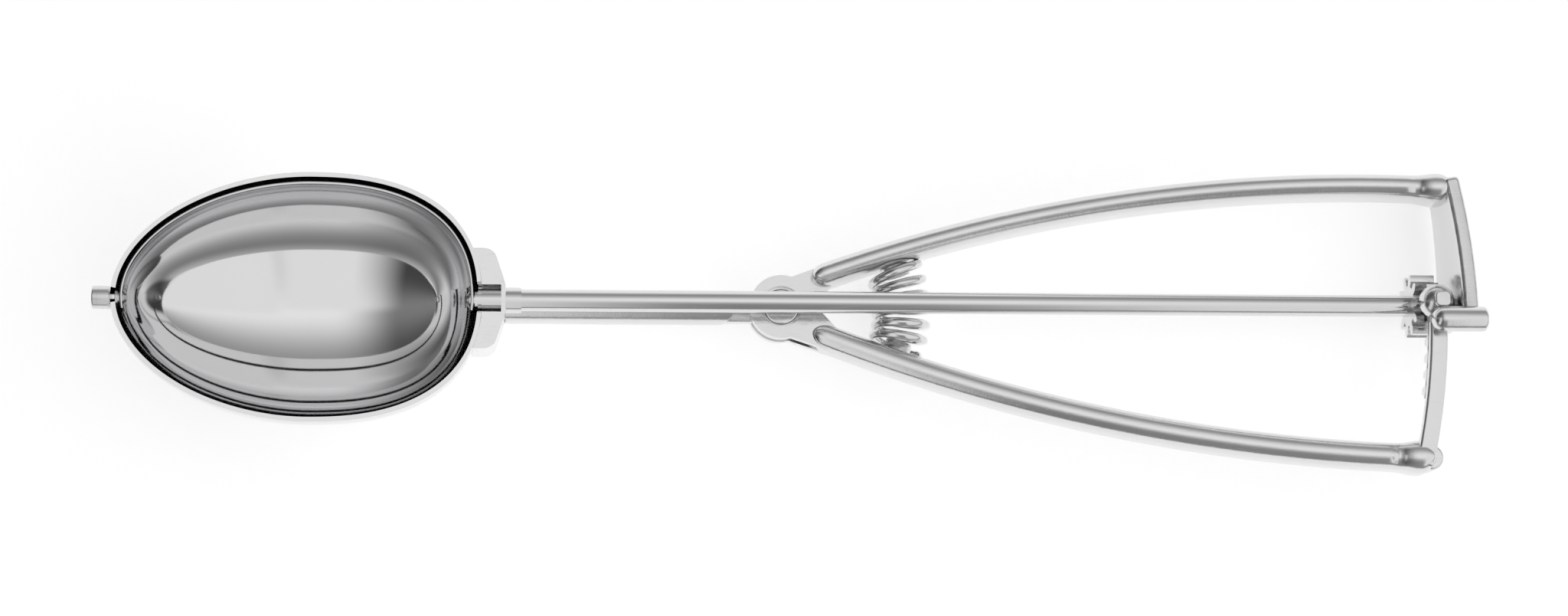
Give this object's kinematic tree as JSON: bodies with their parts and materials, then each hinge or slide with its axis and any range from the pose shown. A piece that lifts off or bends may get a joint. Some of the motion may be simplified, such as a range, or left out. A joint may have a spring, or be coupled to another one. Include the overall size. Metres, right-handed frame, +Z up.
{
  "type": "ice cream scoop",
  "caption": "Lever ice cream scoop: egg-shaped bowl with a scraper strip that a rack and pinion sweep round when the sprung handles are squeezed.",
  "frame": {"origin": "bottom centre of the tool's bounding box, on the table it lies on", "axes": "+Z up from the table, +X along the drive rod from the bowl towards the handles"},
  "size_m": [0.2534, 0.0554, 0.0302],
  "materials": {
    "polished_steel": "mirror-polished, bright",
    "satin_plate": "satin plated",
    "cast_handle": "cast and plated, satin",
    "bright_rod": "bright drawn",
    "turned_steel": "turned, bright",
    "gear_steel": "cut teeth, satin",
    "spring_wire": "drawn wire"
  },
  "bodies": {
    "frame": {"bowl_shell": "polished_steel", "heel_yoke": "satin_plate", "fixed_handle": "cast_handle", "tail_bush": "turned_steel", "upper_spring_peg": "turned_steel", "return_spring": "spring_wire"},
    "lever": {"moving_handle": "cast_handle", "gear_rack": "gear_steel", "stop_knob": "turned_steel", "pivot_rivet": "turned_steel", "rivet_washer": "turned_steel", "lower_spring_peg": "turned_steel"},
    "rotor": {"drive_rod": "bright_rod", "rod_collar": "bright_rod", "pinion": "gear_steel", "pinion_pin": "turned_steel", "scraper_strip": "polished_steel", "front_pin": "turned_steel"}
  },
  "joints": [
    {"name": "lever_hinge", "type": "hinge", "parent": "frame", "child": "lever", "pos_m": [-0.00239, 0.00332, 0.01608], "axis": [0.0801, 0.129, 0.9884], "range_deg": [0, 6.7], "stiffness_Nm_per_rad": 0.6, "springref_deg": -8.59, "deforming": ["return_spring"]},
    {"name": "rod_turn", "type": "hinge", "parent": "frame", "child": "rotor", "pos_m": [-0.08811, 0.00332, 0.02303], "axis": [0.9967, 0, -0.0808], "range_deg": [-165, 0]}
  ],
  "couplings": [
    {"joint": "rod_turn", "follows": "lever_hinge", "ratio": -24.5}
  ]
}
